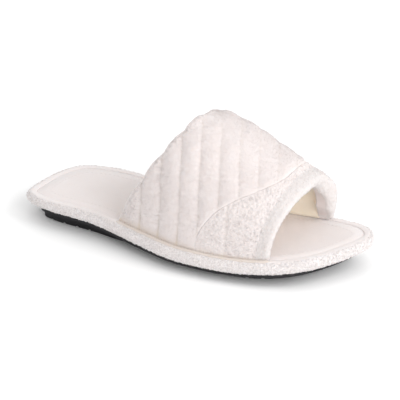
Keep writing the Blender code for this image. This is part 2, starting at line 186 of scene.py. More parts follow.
PLAN = [
    PlanPoint(0.000, -0.120), PlanPoint(0.004, -0.302), PlanPoint(0.054, -0.371),
    PlanPoint(0.250, -0.380), PlanPoint(0.400, -0.445), PlanPoint(0.530, -0.488),
    PlanPoint(0.750, -0.405), PlanPoint(0.870, -0.262), PlanPoint(0.957, -0.010),
    PlanPoint(1.000, 0.260), PlanPoint(0.958, 0.410), PlanPoint(0.855, 0.490),
    PlanPoint(0.660, 0.480), PlanPoint(0.390, 0.366), PlanPoint(0.150, 0.356),
    PlanPoint(0.050, 0.255), PlanPoint(0.014, 0.090),
]
RIM_SECTION = [
    SectionPoint(1.00, 0.00), SectionPoint(0.55, 0.00), SectionPoint(0.22, 0.03),
    SectionPoint(0.05, 0.20), SectionPoint(0.00, 0.45), SectionPoint(0.06, 0.72),
    SectionPoint(0.22, 0.92), SectionPoint(0.48, 1.00), SectionPoint(0.80, 1.00),
    SectionPoint(0.98, 0.98), SectionPoint(1.02, 0.93), SectionPoint(1.02, 0.35),
]
FOOTBED_SECTION = [
    SectionPoint(0.0000, 0.00), SectionPoint(0.0000, 0.92), SectionPoint(0.0003, 0.96),
    SectionPoint(0.0010, 0.985), SectionPoint(0.0025, 0.998), SectionPoint(0.0050, 1.004),
    SectionPoint(0.0075, 1.007),
]
INSTEP = [
    InstepRow(0.25, 1.026, 0.008), InstepRow(0.42, 1.012, 0.010),
    InstepRow(0.53, 0.998, 0.012), InstepRow(0.62, 0.912, 0.045),
    InstepRow(0.72, 0.745, 0.078), InstepRow(0.80, 0.608, 0.095),
    InstepRow(0.87, 0.440, 0.100),
]
REAR_EDGE = EdgeRow(0.318, 0.507, 0.334)
SEAM_FOOT = EdgeRow(0.584, None, 0.610)
FRONT_EDGE = EdgeRow(0.793, 0.836, 0.832)
SOLE_EDGE = [
    SectionPoint(0.95, -0.04), SectionPoint(0.17, -0.04), SectionPoint(0.15, 0.10),
    SectionPoint(0.28, RIM_LIFT + 0.06),
]

RIM_LOOP = LoopSize(height=0.00055, width=0.0011, radius=0.00026, root=0.00022)
PANEL_CURL = LoopSize(height=0.00055, width=0.0014, radius=0.00028, root=0.0002)
REAR_CURL = LoopSize(height=0.0005, width=0.0012, radius=0.00024, root=0.0002)
FOOTBED_STITCH = StitchSize(pitch=0.0034, share=0.66, radius=0.0001)
QUILT_STITCH = StitchSize(pitch=0.0034, share=0.60, radius=0.00009)
# a stitch's rings along its length: their rise and thickness in radii
STITCH_LIFT = np.array([-0.9, 0.25, 0.6, 0.25, -0.9])[:, None]
STITCH_THICK = np.array([0.5, 0.95, 1.0, 0.95, 0.5])[:, None]

CAMERA_AZIMUTH = 26.0
CAMERA_ELEVATION = 26.7
CAMERA_ROLL = 3.0
CAMERA_DISTANCE = 1.80
CAMERA_TARGET = (0.00075, -0.0003, 0.0326)
CAMERA_LENS = 224.95
LAMP_DISTANCE = 2.2
LAMPS = [
    Lamp("key", 55, 28, 1.2, 11.0), Lamp("low", 62, 14, 1.0, 6.0), Lamp("high", 100, 42, 1.2, 14.0),
]
SKY_STRENGTH = 0.92
FLOOR_HALF = 4.0
FLOOR_DROP = 0.0002       # keeps the floor clear of the sole's underside
FLOOR_WHITE = 0.97


# Shape, as in the part

def ease(low, high, value):
    share = np.clip((value - low) / (high - low), 0.0, 1.0)
    return share * share * (3 - 2 * share)


def bell(value, middle, width):
    return np.exp(-(((value - middle) / width) ** 2))


def from_foot(share):
    """0 at both feet of the upper and 1 over its crest."""
    return 1 - np.abs(1 - 2 * share)


def unit(vectors):
    return vectors / np.linalg.norm(vectors, axis=-1, keepdims=True)


def smooth_table(at, values, where):
    at, values = np.array(at), np.array(values)
    slope = np.gradient(values, at)
    where = np.clip(where, at[0], at[-1])
    row = np.clip(np.searchsorted(at, where, side="right") - 1, 0, len(at) - 2)
    span = at[row + 1] - at[row]
    t = (where - at[row]) / span
    return (
        (2 * t**3 - 3 * t**2 + 1) * values[row]
        + (t**3 - 2 * t**2 + t) * span * slope[row]
        + (3 * t**2 - 2 * t**3) * values[row + 1]
        + (t**3 - t**2) * span * slope[row + 1]
    )


def closed_curve(points, steps):
    wrapped = np.vstack([points[-2:], points, points[:3]])
    chords = np.linalg.norm(np.diff(wrapped, axis=0), axis=1)
    run = np.concatenate([[0.0], np.cumsum(np.sqrt(chords))])
    knots = run[2 : 3 + len(points)]
    spans = [np.linspace(low, high, steps, endpoint=False) for low, high in zip(knots, knots[1:])]
    where = np.concatenate(spans)
    return np.stack([smooth_table(run, wrapped[:, k], where) for k in (0, 1)], axis=1)


def resample(points, count):
    run = np.concatenate([[0.0], np.cumsum(np.linalg.norm(np.diff(points, axis=0), axis=1))])
    at = np.linspace(0.0, run[-1], count + 1)
    return np.stack([np.interp(at, run, points[:, k]) for k in range(points.shape[1])], axis=1)


def even_ring(curve, count):
    """Points from the heel to the toe along the outer side, then back along the inner side."""
    from_middle = np.abs(curve[:, 1] - HEEL_MIDDLE)
    heel = int(np.argmin(np.where(curve[:, 0] < 0, from_middle, 1.0)))
    curve = np.roll(curve, -heel, axis=0)
    toe = int(np.argmax(curve[:, 0]))
    lateral = resample(curve[: toe + 1], count // 2)
    medial = resample(np.vstack([curve[toe:], curve[:1]]), count // 2)
    return np.vstack([lateral[:-1], medial[:-1]])


def inset_rings(insets, count):
    """The rim's plan moved inwards to each of the rising insets."""
    points = np.array([(row.along * LENGTH, row.across * BALL_WIDTH) for row in PLAN])
    curve = closed_curve(points, CURVE_STEPS)
    low, high = curve.min(axis=0), curve.max(axis=0)
    curve = (curve - (low + high) / 2) * (LENGTH / (high[0] - low[0]), 1.0)
    ring, done, rings = even_ring(curve, count), 0.0, []
    for inset in insets:
        steps = max(1, math.ceil((inset - done) / INSET_STEP))
        for _ in range(steps if inset > done else 0):
            along = unit(np.roll(ring, -2, axis=0) - np.roll(ring, 2, axis=0))
            inward = np.stack([-along[:, 1], along[:, 0]], axis=1)
            ring = even_ring(ring + inward * (inset - done) / steps, count)
        done = inset
        rings.append(ring)
    return np.array(rings)


def side_lines(ring):
    """The outer and the inner side of a ring, from past the heel's corner to the toe."""
    half = len(ring) // 2
    sides = ring[: half + 1], np.vstack([ring[half:], ring[:1]])[::-1]
    return [line[half // 8 :] for line in sides]


FOOT_LINES = side_lines(inset_rings([FOOT_INSET], LINE_STEPS)[0])


def foot_y(x, side):
    """Y of the upper's foot line on the outer (0) or the inner (1) side at x."""
    return np.interp(x, FOOT_LINES[side][:, 0], FOOT_LINES[side][:, 1])


def along_share(x):
    return x / LENGTH + 0.5


def seat(x):
    """Height over the floor of the level that the rim's top follows."""
    share = along_share(x)
    heel = HEEL_RAISE * (1 - ease(HEEL_LEVEL_END, BALL_LEVEL_START, share))
    toe = TOE_SPRING * (np.clip(share - SPRING_START, 0, None) / (1 - SPRING_START)) ** 2
    return SOLE_FORE + heel + toe


def rim_level(x, share):
    """Height at a share of the way from the rim's underside to its top."""
    low = seat(x) + HEEL_LIFT * (1 - ease(0.0, HEEL_LIFT_END, along_share(x)))
    return low + (seat(x) + RIM_HEIGHT - low) * share


def arch_angle(share):
    angle = np.linspace(0, math.pi / 2, ARCH_STEPS)
    y = np.cos(angle) ** (2 / SQUARENESS) * BALL_WIDTH / 2
    z = np.sin(angle) ** (2 / SQUARENESS) * INSTEP_HEIGHT
    run = np.concatenate([[0.0], np.cumsum(np.hypot(np.diff(y), np.diff(z)))])
    half = np.interp(from_foot(np.clip(share, 0, 1)), run / run[-1], angle)
    return np.where(share < 0.5, half, math.pi - half)


def upper_point(x, share):
    """Point of the upper's plain outer surface at x and at a share of the girth."""
    along = along_share(x)
    at = [row.along for row in INSTEP]
    crest = INSTEP_HEIGHT * smooth_table(at, [row.crest for row in INSTEP], along)
    middle = BALL_WIDTH * smooth_table(at, [row.lean for row in INSTEP], along)
    angle = arch_angle(share)
    power = 2 / (SQUARENESS + REAR_SQUARENESS * (1 - ease(*SQUARE_FADE, along)))
    spread = np.abs(np.cos(angle)) ** power
    rise = np.abs(np.sin(angle)) ** power
    side = np.where(np.cos(angle) > 0, foot_y(x, 0), foot_y(x, 1))
    y = middle + (side - middle) * spread
    climb = np.clip(from_foot(share) / BULGE_SHARE, 0, 1)
    swell = np.sin(math.pi * climb) ** BULGE_ROUND
    y = y + swell * np.where(share < 0.5, -OUTER_BULGE, INNER_BULGE)
    return np.stack([x, y, seat(x) + RIM_HEIGHT - UPPER_SEAT + crest * rise], axis=-1)


def upper_normal(x, share):
    along = upper_point(x + PROBE_X, share) - upper_point(x - PROBE_X, share)
    high, low = np.clip(share + PROBE_SHARE, 0, 1), np.clip(share - PROBE_SHARE, 0, 1)
    return unit(np.cross(along, upper_point(x, high) - upper_point(x, low)))


def rear_edge(share):
    reach = math.hypot(1, REAR_PEAK_ROUND)
    climb = (reach - np.hypot(1 - 2 * share, REAR_PEAK_ROUND)) / (reach - REAR_PEAK_ROUND)
    foot = np.where(share < 0.5, REAR_EDGE.lateral, REAR_EDGE.medial)
    return (foot + (REAR_EDGE.crest - foot) * climb - 0.5) * LENGTH


def front_edge(share):
    climb = np.sin(math.pi * share) ** 2
    foot = np.where(share < 0.5, FRONT_EDGE.lateral, FRONT_EDGE.medial)
    return (foot + (FRONT_EDGE.crest - foot) * climb - 0.5) * LENGTH


def binding_line(share):
    return front_edge(share) - BINDING_WIDTH


def seam_line(share):
    foot = np.where(share < 0.5, SEAM_FOOT.lateral, SEAM_FOOT.medial)
    foot_x = (foot - 0.5) * LENGTH
    reach = np.clip(from_foot(share) / (2 * SEAM_SHARE), 0, 1)
    climb = np.sin(math.pi / 2 * reach) ** 2
    return foot_x + (binding_line(share) - PANEL_TIP - foot_x) * climb


def wall_thickness(share, full):
    return FOOT_WALL + (full - FOOT_WALL) * ease(0.0, 2 * WALL_RUN, from_foot(share))


# Unevenness

def cell_value(cells, salt):
    """Repeatable value from 0 to 1 for each cell of a cubic lattice."""
    mixed = cells[..., 0] * 73856093 ^ cells[..., 1] * 19349663 ^ cells[..., 2] * 83492791
    mixed = (mixed ^ (salt * 40503)) & 0xFFFFFFFF
    mixed = ((mixed >> 16 ^ mixed) * 0x45D9F3B) & 0xFFFFFFFF
    mixed = ((mixed >> 16 ^ mixed) * 0x45D9F3B) & 0xFFFFFFFF
    return (mixed >> 8) / float(0xFFFFFF)


def soft_noise(points, size, salt=1):
    """Smooth noise from -1 to 1 with lumps about size across."""
    scaled = points / size
    base = np.floor(scaled).astype(np.int64)
    t = scaled - base
    t = t * t * (3 - 2 * t)
    total = 0.0
    for corner in np.ndindex(2, 2, 2):
        weight = np.prod(np.where(np.array(corner) == 1, t, 1 - t), axis=-1)
        total = total + weight * cell_value(base + np.array(corner), salt)
    return 2 * total - 1


def nub_noise(points, size, salt=2):
    """Rounded bumps about size apart: 1 on top of a bump, 0 between bumps."""
    scaled = points / size
    base = np.floor(scaled).astype(np.int64)
    nearest = np.full(points.shape[:-1], 9.0)
    for corner in np.ndindex(3, 3, 3):
        cell = base + np.array(corner) - 1
        centre = cell + np.stack([cell_value(cell, salt + k) for k in range(3)], axis=-1)
        nearest = np.minimum(nearest, np.linalg.norm(centre - scaled, axis=-1))
    return np.clip(1 - nearest, 0, 1)


# Meshes

def add_piece(name, verts, faces, materials, face_materials=None, tone_and_shade=None, smooth=True):
    mesh = bpy.data.meshes.new(name)
    mesh.from_pydata(np.asarray(verts).reshape(-1, 3).tolist(), [], faces)
    for material in materials:
        mesh.materials.append(material)
    if face_materials is not None:
        mesh.polygons.foreach_set("material_index", np.asarray(face_materials, np.int32))
    if tone_and_shade is not None:
        # the amount by which each point's cloth is mixed to its second colour: real tone or painted
        # shade
        layer = mesh.attributes.new("tone_and_shade", "FLOAT", "POINT")
        layer.data.foreach_set("value", np.asarray(tone_and_shade, np.float32).ravel())
    if smooth:
        mesh.shade_smooth()
    mesh.update()
    item = bpy.data.objects.new(name, mesh)
    bpy.context.scene.collection.objects.link(item)
    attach(item, "root")
    return item


def loft_faces(rows, count, close_rows=False):
    """Quads between rings that are each closed round count points."""
    faces = []
    for row in range(rows if close_rows else rows - 1):
        low, high = row * count, (row + 1) % rows * count
        for i in range(count):
            j = (i + 1) % count
            faces.append((low + i, low + j, high + j, high + i))
    return faces


def grid_normals(grid, close_rows, close_columns):
    """Normals of a grid of points, rows by columns."""
    def slope(axis, closed):
        if closed:
            return np.roll(grid, -1, axis=axis) - np.roll(grid, 1, axis=axis)
        return np.gradient(grid, axis=axis)
    normal = np.cross(slope(0, close_rows), slope(1, close_columns))
    return normal / np.maximum(np.linalg.norm(normal, axis=-1, keepdims=True), 1e-12)


def on_grid(grid, row, column):
    """Bilinear values of a grid at fractional rows and columns."""
    rows, columns = grid.shape[:2]
    r0, c0 = np.floor(row).astype(int), np.floor(column).astype(int)
    fr, fc = (row - r0)[:, None], (column - c0)[:, None]
    r0, r1, c0, c1 = r0 % rows, (r0 + 1) % rows, c0 % columns, (c0 + 1) % columns
    low = grid[r0, c0] * (1 - fc) + grid[r0, c1] * fc
    high = grid[r1, c0] * (1 - fc) + grid[r1, c1] * fc
    return low * (1 - fr) + high * fr


def between_rings(rings, place):
    """Rings at fractional places between the given ones."""
    low = np.clip(np.floor(place).astype(int), 0, len(rings) - 2)
    part = (place - low)[:, None, None]
    return rings[low] * (1 - part) + rings[low + 1] * part


def tube_faces(count, rings, sides, capped=False):
    """Faces of count tubes, each with so many rings of so many points."""
    faces = []
    for base in range(0, count * rings * sides, rings * sides):
        last = base + (rings - 1) * sides
        for low in range(base, last, sides):
            for i in range(sides):
                j = (i + 1) % sides
                faces.append((low + i, low + j, low + sides + j, low + sides + i))
        if capped:
            faces.append(tuple(range(base, base + sides))[::-1])
            faces.append(tuple(range(last, last + sides)))
    return faces


def add_loops(name, points, normals, size, material, rng):
    """Terry or curly pile: a small bent loop of yarn on each point."""
    count = len(points)
    along = unit(np.cross(normals, rng.normal(size=(count, 3))))
    lean = unit(normals + LOOP_LEAN * rng.uniform(-1, 1, size=(count, 3)))
    height = size.height * rng.uniform(0.65, 1.25, count)[:, None]
    width = size.width * rng.uniform(0.7, 1.3, count)[:, None]
    path = np.stack([
        points - normals * size.root + lean * height * math.sin(t) + along * width / 2 * math.cos(t)
        for t in np.linspace(0, math.pi, LOOP_STEPS)
    ], axis=1)
    ahead = unit(np.gradient(path, axis=1))
    side = unit(np.cross(ahead, np.cross(along, lean)[:, None, :]))
    other = np.cross(ahead, side)
    rings = [
        path + size.radius * (side * math.cos(a) + other * math.sin(a))
        for a in np.linspace(0, 2 * math.pi, LOOP_SIDES, endpoint=False)
    ]
    faces = tube_faces(count, LOOP_STEPS, LOOP_SIDES)
    add_piece(name, np.stack(rings, axis=2), faces, [material], smooth=False)


def add_nap(name, surface, normals, count, length, material, rng):
    """Short fibres standing off a face of pile cloth, given as a grid of points."""
    row = rng.uniform(1, surface.shape[0] - 2, count)
    column = rng.uniform(0.5, surface.shape[1] - 2, count)
    foot, up = on_grid(surface, row, column), on_grid(normals, row, column)
    lean = unit(up + NAP_LEAN * rng.uniform(-1, 1, (count, 3)))
    side = np.cross(lean, rng.normal(size=(count, 3)))
    side *= NAP_HALF_WIDTH / np.linalg.norm(side, axis=1)[:, None]
    foot = foot - up * NAP_ROOT
    tip = foot + lean * length * rng.uniform(0.5, 1.2, count)[:, None]
    verts = np.stack([foot - side, foot + side, tip], axis=1)
    faces = np.arange(3 * count).reshape(-1, 3).tolist()
    add_piece(name, verts, faces, [material], smooth=False)


def add_stitches(name, path, normals, size, material, closed=False):
    """Threads laid along a line of points: short flat-ended stitches, a little proud."""
    if closed:
        path, normals = np.vstack([path, path[:1]]), np.vstack([normals, normals[:1]])
    run = np.concatenate([[0.0], np.cumsum(np.linalg.norm(np.diff(path, axis=0), axis=1))])
    count = max(1, int(run[-1] / size.pitch))
    starts = np.arange(count) * run[-1] / count
    steps = np.linspace(0, 1, len(STITCH_LIFT))
    at = starts[:, None] + steps * size.share * run[-1] / count
    centre = np.stack([np.interp(at, run, path[:, k]) for k in range(3)], axis=-1)
    up = unit(np.stack([np.interp(at, run, normals[:, k]) for k in range(3)], axis=-1))
    side = np.cross(unit(np.gradient(centre, axis=1)), up)
    lift, thick = STITCH_LIFT * size.radius, STITCH_THICK * size.radius
    rings = [
        centre + up * lift + thick * (side * math.cos(a) + up * math.sin(a))
        for a in np.linspace(0, 2 * math.pi, STITCH_SIDES, endpoint=False)
    ]
    faces = tube_faces(count, len(STITCH_LIFT), STITCH_SIDES, capped=True)
    add_piece(name, np.stack(rings, axis=2), faces, [material])


# Materials

MOTTLE_SCALE = 70
MOTTLE_RANGE = (0.35, 0.68)
NAP_RANGE = (0.30, 0.72)
CLOTH_FINISH = {
    "Roughness": 0.9,
    "Specular IOR Level": 0.15,
    "Subsurface Weight": 0.3,
    "Subsurface Radius": (1.0, 0.85, 0.75),
    "Subsurface Scale": 0.0012,
    "Sheen Roughness": 0.45,
}
# tan for the fleece, curly pile and plush: painted shade at the walls' feet, along the stitch lines
# and in the toe panel's crease, and the welt's own tone
TAN = (0.63, 0.55, 0.47)
# deep tan of the lining near the crest: partly its tone, partly painted shade
LINING_TAN = (0.97, 0.72, 0.47)
SOCK_TONE = (0.775, 0.724, 0.714)
CLOTHS = {
    "fleece": Cloth("quilted_fleece", (0.735, 0.684, 0.672), (0.695, 0.638, 0.624), TAN,
                    1100, 0.00022, 0.0004),
    "curly": Cloth("curly_pile", (0.72, 0.668, 0.656), (0.66, 0.604, 0.590), TAN,
                   1000, 0.00015, 0.00015),
    "terry": Cloth("terry_loops", (0.86, 0.818, 0.808), (0.61, 0.565, 0.555), SOCK_TONE,
                   1000, 0.00024, 0.0002, blotch=0.1),
    "plush": Cloth("plush_pile", (0.70, 0.662, 0.650), (0.665, 0.622, 0.609), TAN,
                   1400, 0.0002, 0.0003, sheen=0.5),
    "sock": Cloth("footbed_nap", SOCK_TONE, (0.745, 0.688, 0.676), TAN, 1600, 0.00012, 0.0002),
    "lining": Cloth("lining_tone_and_shade", (0.98, 0.89, 0.77), (0.97, 0.87, 0.74), LINING_TAN,
                    1500, 0.00015, 0.0002),
    "thread": Cloth("thread", (0.68, 0.62, 0.60), (0.64, 0.58, 0.56), TAN, 3000, 0.00005),
}
DARK_RUBBER = (0.010, 0.0095, 0.011, 1)
DUSTY_RUBBER = (0.020, 0.0185, 0.021, 1)


def fabric(cloth):
    """Cloth whose colour varies softly, with a fine nap in its bump, mixed by each point's amount to a
    second colour: a real tone on some pieces, painted shade on others.
    """
    material = bpy.data.materials.new(cloth.name)
    material.use_nodes = True
    nodes, links = material.node_tree.nodes, material.node_tree.links
    shader = nodes["Principled BSDF"]
    place = nodes.new("ShaderNodeTexCoord")

    def noise(scale, detail, roughness=0.6):
        node = nodes.new("ShaderNodeTexNoise")
        node.inputs["Scale"].default_value = scale
        node.inputs["Detail"].default_value = detail
        node.inputs["Roughness"].default_value = roughness
        links.new(place.outputs["Object"], node.inputs["Vector"])
        return node.outputs["Fac"]

    def blend(factor, low, high):
        node = nodes.new("ShaderNodeMix")
        node.data_type = "RGBA"
        links.new(factor, node.inputs[0])
        for value, socket in ((low, node.inputs[6]), (high, node.inputs[7])):
            if isinstance(value, tuple):
                socket.default_value = (*value, 1.0)
            else:
                links.new(value, socket)
        return node.outputs[2]

    def spread(value, low, high):
        node = nodes.new("ShaderNodeMapRange")
        node.inputs["From Min"].default_value = low
        node.inputs["From Max"].default_value = high
        links.new(value, node.inputs["Value"])
        return node.outputs["Result"]

    middle = tuple(a + (b - a) * cloth.blotch for a, b in zip(cloth.colour, cloth.shade))
    mottle = blend(spread(noise(MOTTLE_SCALE, 3), *MOTTLE_RANGE), cloth.colour, middle)
    fine = blend(spread(noise(cloth.grain, 2), *NAP_RANGE), mottle, cloth.shade)
    # each point's amount: the rim's top and the welt take a real tone; the walls' feet, stitch lines,
    # crease and lining top take painted shade
    attribute = nodes.new("ShaderNodeAttribute")
    attribute.attribute_name = "tone_and_shade"
    links.new(blend(attribute.outputs["Fac"], fine, cloth.warm), shader.inputs["Base Color"])

    last = None
    bumps = [
        (noise(cloth.grain, 4, 0.7), cloth.grain_bump), (noise(cloth.grain / 6, 2), cloth.lumps)
    ]
    for height, depth in bumps:
        if depth:
            bump = nodes.new("ShaderNodeBump")
            bump.inputs["Strength"].default_value = 1.0
            bump.inputs["Distance"].default_value = depth
            links.new(height, bump.inputs["Height"])
            if last is not None:
                links.new(last, bump.inputs["Normal"])
            last = bump.outputs["Normal"]
    links.new(last, shader.inputs["Normal"])
    for socket, value in CLOTH_FINISH.items():
        shader.inputs[socket].default_value = value
    shader.inputs["Sheen Weight"].default_value = cloth.sheen
    return material


def rubber_material():
    material = bpy.data.materials.new("sole_rubber")
    material.use_nodes = True
    nodes, links = material.node_tree.nodes, material.node_tree.links
    shader = nodes["Principled BSDF"]
    place = nodes.new("ShaderNodeTexCoord")
    grain = nodes.new("ShaderNodeTexNoise")
    grain.inputs["Scale"].default_value = 1500
    grain.inputs["Detail"].default_value = 3
    links.new(place.outputs["Object"], grain.inputs["Vector"])
    dust = nodes.new("ShaderNodeTexNoise")
    dust.inputs["Scale"].default_value = 120
    links.new(place.outputs["Object"], dust.inputs["Vector"])
    ramp = nodes.new("ShaderNodeValToRGB")
    ramp.color_ramp.elements[0].position = 0.35
    ramp.color_ramp.elements[0].color = DARK_RUBBER
    ramp.color_ramp.elements[1].position = 0.75
    ramp.color_ramp.elements[1].color = DUSTY_RUBBER
    links.new(dust.outputs["Fac"], ramp.inputs["Fac"])
    links.new(ramp.outputs["Color"], shader.inputs["Base Color"])
    bump = nodes.new("ShaderNodeBump")
    bump.inputs["Strength"].default_value = 0.6
    bump.inputs["Distance"].default_value = 0.00015
    links.new(grain.outputs["Fac"], bump.inputs["Height"])
    links.new(bump.outputs["Normal"], shader.inputs["Normal"])
    shader.inputs["Roughness"].default_value = 0.62
    shader.inputs["Specular IOR Level"].default_value = 0.3
    return material


def make_materials():
    made = {key: fabric(cloth) for key, cloth in CLOTHS.items()}
    made["rubber"] = rubber_material()
    return made


# Pieces

def smooth_section(rows, count, closed):
    """A section table as evenly spaced points on a smooth line."""
    points = np.array([(row.inset, row.height) for row in rows])
    if closed:
        curve = closed_curve(points, SECTION_STEPS)
        return resample(np.vstack([curve, curve[:1]]), count)[:-1]
    return resample(points, count)


def build_rim(materials, rng):
    profile = smooth_section(RIM_SECTION, RIM_ROWS, True)
    profile[:, 0] = np.clip(profile[:, 0], 0, RIM_REACH)
    insets = np.linspace(0, RIM_WIDTH * RIM_REACH, RIM_RINGS)
    rings = inset_rings(insets, RIM_AROUND)
    plan = between_rings(rings, profile[:, 0] * RIM_WIDTH / insets[1])
    lifted = RIM_LIFT + (1 - RIM_LIFT) * profile[:, 1]
    height = rim_level(plan[..., 0], lifted[:, None])
    grid = np.concatenate([plan, height[..., None]], axis=2)
    normal = grid_normals(grid, True, True)
    middle = grid.mean(axis=0, keepdims=True)
    if np.mean(np.sum(normal * (grid - middle), axis=-1)) < 0:
        normal = -normal
    puff = RIM_NUBS * (nub_noise(grid, NUB) - 0.7) + RIM_LUMPS * soft_noise(grid, 0.012)
    # the wrap's top is brushed flat and takes the footbed's tone towards it
    turned = ease(0.22, 0.60, profile[:, 0]) * ease(0.55, 0.75, profile[:, 1])
    inside = (profile[:, 0] > 0.985)[:, None]
    puff = puff * (1 - 0.8 * turned)[:, None]
    grid = grid + normal * np.where(inside, 0.0, puff)[..., None]
    tone_and_shade = np.repeat(turned[:, None], RIM_AROUND, axis=1)
    faces = loft_faces(RIM_ROWS, RIM_AROUND, close_rows=True)
    rim = add_piece("rim_terry", grid, faces, [materials["terry"]], tone_and_shade=tone_and_shade)
    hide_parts("rim_wrap")
    add_rim_loops(grid, normal, profile, materials, rng)
    build_sole_edge(rings, insets[1], materials)


def add_rim_loops(grid, normal, profile, materials, rng):
    """Terry loops over the outer face and the lower edge of the wrap."""
    shown = np.where((profile[:, 0] < LOOPS_INSET) | (profile[:, 1] < 0.0))[0]
    columns = int(LENGTH * RIM_GIRTH / NUB)
    r, c = np.meshgrid(np.arange(LOOP_ROWS), np.arange(columns), indexing="ij")
    r = (r.ravel() + rng.uniform(0.1, 0.9, r.size)) / LOOP_ROWS
    c = (c.ravel() + rng.uniform(0.0, 1.0, c.size)) / columns
    rows_at = shown[0] + r * (len(shown) - 1)
    columns_at = c * RIM_AROUND
    points = on_grid(grid, rows_at, columns_at)
    normals = on_grid(normal, rows_at, columns_at)
    inset = np.repeat((profile[:, 0] * RIM_WIDTH)[:, None, None], RIM_AROUND, axis=1)
    depth = on_grid(inset, rows_at, columns_at)[:, 0]
    keep = (points[:, 2] > LOOPS_FLOOR) & ~((depth > LOOPS_FLAT) & (normals[:, 2] > 0))
    add_loops("rim_loops", points[keep], normals[keep], RIM_LOOP, materials["terry"],
              rng)


def build_sole_edge(rings, pitch, materials):
    """The sole's top edge, drawn up to the lifted wrap and set back at the heel and toe."""
    each = np.arange(rings.shape[1])
    along = along_share(rings[1, :, 0])
    at_ends = 1 - ease(0.03, 0.09, along) + ease(0.87, 0.95, along)
    edges = []
    for row in SOLE_EDGE:
        place = np.clip(row.inset + SOLE_EDGE_BACK * at_ends, 0, 1) * RIM_WIDTH / pitch
        low = np.clip(np.floor(place).astype(int), 0, len(rings) - 2)
        part = (place - low)[:, None]
        ring = rings[low, each] * (1 - part) + rings[low + 1, each] * part
        edges.append(np.column_stack([ring, rim_level(ring[:, 0], row.height)]))
    faces = loft_faces(len(edges), len(each))
    add_piece("outsole_top_edge", np.array(edges), faces, [materials["rubber"]],
              smooth=False)


def footbed_side(profile):
    """Rows of points from the footbed's foot up and over its rounded edge."""
    insets = np.linspace(0, FOOTBED_EDGE, FOOTBED_RINGS)
    rings = inset_rings(RIM_WIDTH + SEAM_CLEARANCE + insets, FOOTBED_AROUND)
    for row, ring in enumerate(rings):
        for _ in range(2 * row):
            ring = (np.roll(ring, 1, axis=0) + 2 * ring + np.roll(ring, -1, axis=0)) / 4
        rings[row] = ring
    plan = between_rings(rings, profile[:, 0] / insets[1])
    height = rim_level(plan[..., 0], profile[:, 1][:, None])
    return np.concatenate([plan, height[..., None]], axis=2)


def footbed_crown(top):
    """Rows of points from the footbed's upper edge to its middle line."""
    around = len(top)
    opposite = top[::-1][np.r_[-1, 0:around - 1]]
    from_ends = np.sin(2 * math.pi * np.arange(around) / around) ** 2
    crown = []
    for share in CROWN_SHARES:
        ring = top + ((top + opposite) / 2 - top) * share
        ring[:, 2] += FOOTBED_CROWN * math.sin(share * math.pi / 2) * from_ends
        crown.append(ring)
    return np.array(crown)


def footbed_faces(rows, around):
    """Faces between the rows, below the first and across the last."""
    faces = loft_faces(rows, around)
    faces.append(tuple(range(around))[::-1])
    last = (rows - 1) * around
    half = around // 2
    faces.append((last, last + 1, last + around - 1))
    for i in range(1, half - 1):
        faces.append((last + i, last + i + 1, last + around - i - 1, last + around - i))
    faces.append((last + half - 1, last + half, last + half + 1))
    return faces


def build_footbed(materials):
    profile = smooth_section(FOOTBED_SECTION, FOOTBED_ROWS, False)
    sides = footbed_side(profile)
    grid = np.concatenate([sides, footbed_crown(sides[-1])])
    normal = grid_normals(grid, False, True)
    if normal[-5:, :, 2].mean() < 0:
        normal = -normal
    normal[len(sides):] = (0.0, 0.0, 1.0)
    edge = np.concatenate([profile[:, 0], FOOTBED_EDGE + CROWN_SHARES * FOOTBED_HALF])
    worn = soft_noise(grid, 0.035, 5) * 0.00045 + soft_noise(grid, 0.009, 6) * 0.00015
    rise = worn * ease(0.001, 0.006, edge)[:, None]
    grid = grid + normal * rise[..., None]
    faces = footbed_faces(len(grid), FOOTBED_AROUND)
    item = add_piece("footbed_pad", grid, faces, [materials["sock"]])
    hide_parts("footbed")

    row = int(np.argmin(np.abs(edge[:len(profile)] - STITCH_INSET)))
    up = np.broadcast_to([0.0, 0.0, 1.0], grid[row].shape)
    add_stitches("footbed_topstitch", grid[row], up, FOOTBED_STITCH, materials["thread"],
                 closed=True)


def build_welt(materials):
    """Pale tan welt along the upper's foot on both sides of the rim."""
    lateral, medial = side_lines(inset_rings([WELT_INSET], LINE_STEPS)[0])
    for name, line, foot, front in (
        ("welt_lateral", lateral, REAR_EDGE.lateral, FRONT_EDGE.lateral),
        ("welt_medial", medial, REAR_EDGE.medial, FRONT_EDGE.medial),
    ):
        ends = (np.array([foot, front]) - 0.5) * LENGTH + (-0.0005, 0.0005)
        x = np.linspace(*ends, WELT_STEPS)
        y = np.interp(x, line[:, 0], line[:, 1])
        centre = np.stack([x, y, seat(x) + RIM_HEIGHT - UPPER_SEAT], axis=1)
        side = np.cross(unit(np.gradient(centre, axis=0)), (0.0, 0.0, 1.0))
        near_end = np.minimum(x - ends[0], ends[1] - x)
        full = np.sqrt(np.clip(near_end / WELT_TAPER, 0.02, 1))[:, None]
        full = full * (1 + 0.10 * soft_noise(centre, 0.006, 21)[:, None])
        rings = []
        for t in np.linspace(0, 2 * math.pi, WELT_AROUND, endpoint=False):
            across, rise = WELT_HALF[0] * math.cos(t), WELT_HALF[1] * math.sin(t)
            rings.append(centre + full * (side * across + np.array([0.0, 0.0, rise])))
        verts = np.stack(rings, axis=1)
        faces = tube_faces(1, WELT_STEPS, WELT_AROUND, capped=True)
        tone_and_shade = 0.55 + 0.15 * soft_noise(verts, 0.004, 22)
        add_piece(name, verts, faces, [materials["fleece"]], tone_and_shade=tone_and_shade)


def quilt_across(points):
    """Distance of points square to the stitch lines."""
    return points[..., 0] * math.cos(QUILT_TURN) + points[..., 1] * math.sin(QUILT_TURN)


def quilt_place(points):
    """Channels from the first stitch line, with the slight waver of a hand-fed seam."""
    waver = 0.0005 * soft_noise(points, 0.022, 8)
    return (quilt_across(points) + waver - QUILT_START) / QUILT_PITCH


